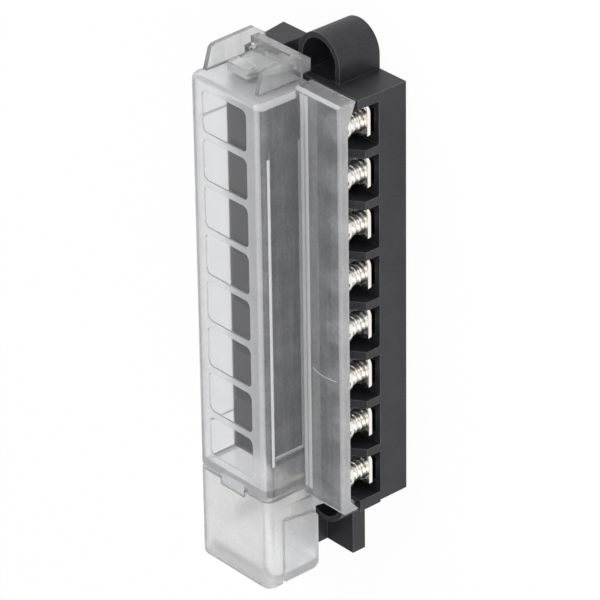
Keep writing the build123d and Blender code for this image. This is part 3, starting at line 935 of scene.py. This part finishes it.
# %% Feed stud
stud_low, stud_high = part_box("feed_stud")
STUD_X = (stud_low.x + stud_high.x) / 2
STUD_Y = (stud_low.y + stud_high.y) / 2
STUD_HEAD_RADIUS = (stud_high.x - stud_low.x) / 2
STUD_RADIUS = 2.5 * MM
STUD_CORE = STUD_RADIUS - 0.35 * MM
STUD_PITCH = 0.8 * MM
SEAT_Z = 9.8 * MM

stud_head = rod("stud_head", STUD_HEAD_RADIUS, stud_low.z, SEAT_Z)
stud_stem = rod("stud_core", STUD_CORE, SEAT_Z - OVERLAP, stud_high.z)
stud_ridge = thread("stud_thread", STUD_CORE, STUD_RADIUS, STUD_PITCH, SEAT_Z, stud_high.z)
stud = join([stud_head, stud_stem, stud_ridge], "threaded_feed_stud")
stud.data.materials.append(ZINC)
bpy.ops.object.shade_smooth_by_angle(angle=THREAD_SHADE)
put(stud, STUD_X, STUD_Y)
stand_for(stud, "feed_stud", "base_body")
print("stud faces", len(stud.data.polygons))

# %% Feed nut
NUT_CHAMFER = 0.25 * MM

nut = merged_copy("feed_nut", "hexagon_nut")
nut.data.materials.append(ZINC)
round_edges(nut, NUT_CHAMFER)
stand_for(nut, "feed_nut", "nut_body")
print("nut faces", len(nut.data.polygons))

# %% [markdown]
# ## The floor
# The part lies on its mounting face on a plain white floor. Under soft light a diffuse floor is
# never quite white in the picture, and more light would wash out the object. So to the camera,
# in mirrors and through glass it mostly shows a white of its own, and the small rest keeps a
# faint shadow. All other light meets plain paper.

# %% Floor
OWN_WHITE = 0.96
FLOOR_Z = -0.2 * MM
FLOOR_SIZE = 6.0


def build_floor():
    """White paper: mostly its own white for the eye, and plain diffuse for light."""
    material = new_material("white_paper")
    tree = material.node_tree
    grain = place_group(tree, GRAIN, Scale=300.0, Cloud_scale=4.0)
    tone = add(tree, "ShaderNodeMix", data_type="RGBA")
    tone.inputs["A"].default_value = (0.90, 0.90, 0.90, 1)
    tone.inputs["B"].default_value = (0.94, 0.94, 0.94, 1)
    paper = add(tree, "ShaderNodeBsdfDiffuse")
    glow = add(tree, "ShaderNodeEmission", Color=(1, 1, 1, 1), Strength=1.0)
    path = add(tree, "ShaderNodeLightPath")
    seen = add(tree, "ShaderNodeMath", operation="MAXIMUM")
    seen_or_mirrored = add(tree, "ShaderNodeMath", operation="MAXIMUM")
    share = add(tree, "ShaderNodeMath", operation="MULTIPLY")
    share.inputs[1].default_value = OWN_WHITE
    mix = add(tree, "ShaderNodeMixShader")
    end = add(tree, "ShaderNodeOutputMaterial")
    wire(tree, grain, "Cloud", tone, "Factor")
    wire(tree, tone, "Result", paper, "Color")
    wire(tree, path, "Is Camera Ray", seen, 0)
    wire(tree, path, "Is Transmission Ray", seen, 1)
    wire(tree, seen, "Value", seen_or_mirrored, 0)
    wire(tree, path, "Is Glossy Ray", seen_or_mirrored, 1)
    wire(tree, seen_or_mirrored, "Value", share, 0)
    wire(tree, share, "Value", mix, "Fac")
    wire(tree, paper, "BSDF", mix, 1)
    wire(tree, glow, "Emission", mix, 2)
    wire(tree, mix, "Shader", end, "Surface")
    return material


bpy.ops.mesh.primitive_plane_add(size=FLOOR_SIZE, location=(0, 0, FLOOR_Z))
floor = bpy.context.object
floor.name = "floor"
floor.data.materials.append(build_floor())
print("floor at", FLOOR_Z)

# %% [markdown]
# ## The surroundings
# A photographer's white tent is white to look at and lights the object softly. One strength for
# both would either grey the background or drown the lamps. So the world is fully white to the
# camera and through glass, weaker as a light, and weaker again in mirrors, which keeps the metal
# and the glossy plastic from turning flat white.

# %% World
LIGHT_SHARE = 0.60
MIRROR_SHARE = 0.5


def build_world():
    """White surroundings, weaker for light than for sight."""
    world = bpy.data.worlds.new("studio")
    world.use_nodes = True
    tree = world.node_tree
    tree.nodes.clear()
    path = add(tree, "ShaderNodeLightPath")
    seen = add(tree, "ShaderNodeMath", operation="MAXIMUM")
    level = add(tree, "ShaderNodeMapRange", To_Min=LIGHT_SHARE, To_Max=1.0)
    mirrored = add(tree, "ShaderNodeMapRange", To_Min=1.0, To_Max=MIRROR_SHARE)
    strength = add(tree, "ShaderNodeMath", operation="MULTIPLY")
    sky = add(tree, "ShaderNodeBackground", Color=(1, 1, 1, 1))
    end = add(tree, "ShaderNodeOutputWorld")
    wire(tree, path, "Is Camera Ray", seen, 0)
    wire(tree, path, "Is Transmission Ray", seen, 1)
    wire(tree, seen, "Value", level, "Value")
    wire(tree, path, "Is Glossy Ray", mirrored, "Value")
    wire(tree, level, "Result", strength, 0)
    wire(tree, mirrored, "Result", strength, 1)
    wire(tree, strength, "Value", sky, "Strength")
    wire(tree, sky, "Background", end, "Surface")
    bpy.context.scene.world = world


build_world()
print("world", bpy.context.scene.world.name)

# %% [markdown]
# ## The lamps
# In the photograph the light falls from the side of the latch, and the sides are never black.
# One hard lamp would throw sharp shadows into the pockets. A large soft key lamp beyond the
# latch gives the direction, and a fill and a front lamp, both soft and weaker, lift the sides.

# %% Lamps
OBJECT_MIDDLE = Vector((0, 0, 0.015))
# Name, place, size in metres and power in watts.
LAMPS = (("key", (-0.35, 0.95, 0.75), 0.7, 6.0),
         ("fill", (1.0, -0.4, 0.55), 0.9, 4.0),
         ("front", (0.75, 0.55, 1.0), 0.6, 2.0))


def softbox(name, place, size, power):
    """A square area lamp that faces the object."""
    data = bpy.data.lights.new(name, "AREA")
    data.shape = "SQUARE"
    data.size = size
    data.energy = power
    lamp = bpy.data.objects.new(name, data)
    lamp.location = place
    aim = OBJECT_MIDDLE - Vector(place)
    lamp.rotation_euler = aim.to_track_quat("-Z", "Y").to_euler()
    bpy.context.scene.collection.objects.link(lamp)


for lamp in LAMPS:
    softbox(*lamp)
bpy.context.scene.view_settings.view_transform = "Standard"
print("lamps", [lamp[0] for lamp in LAMPS])
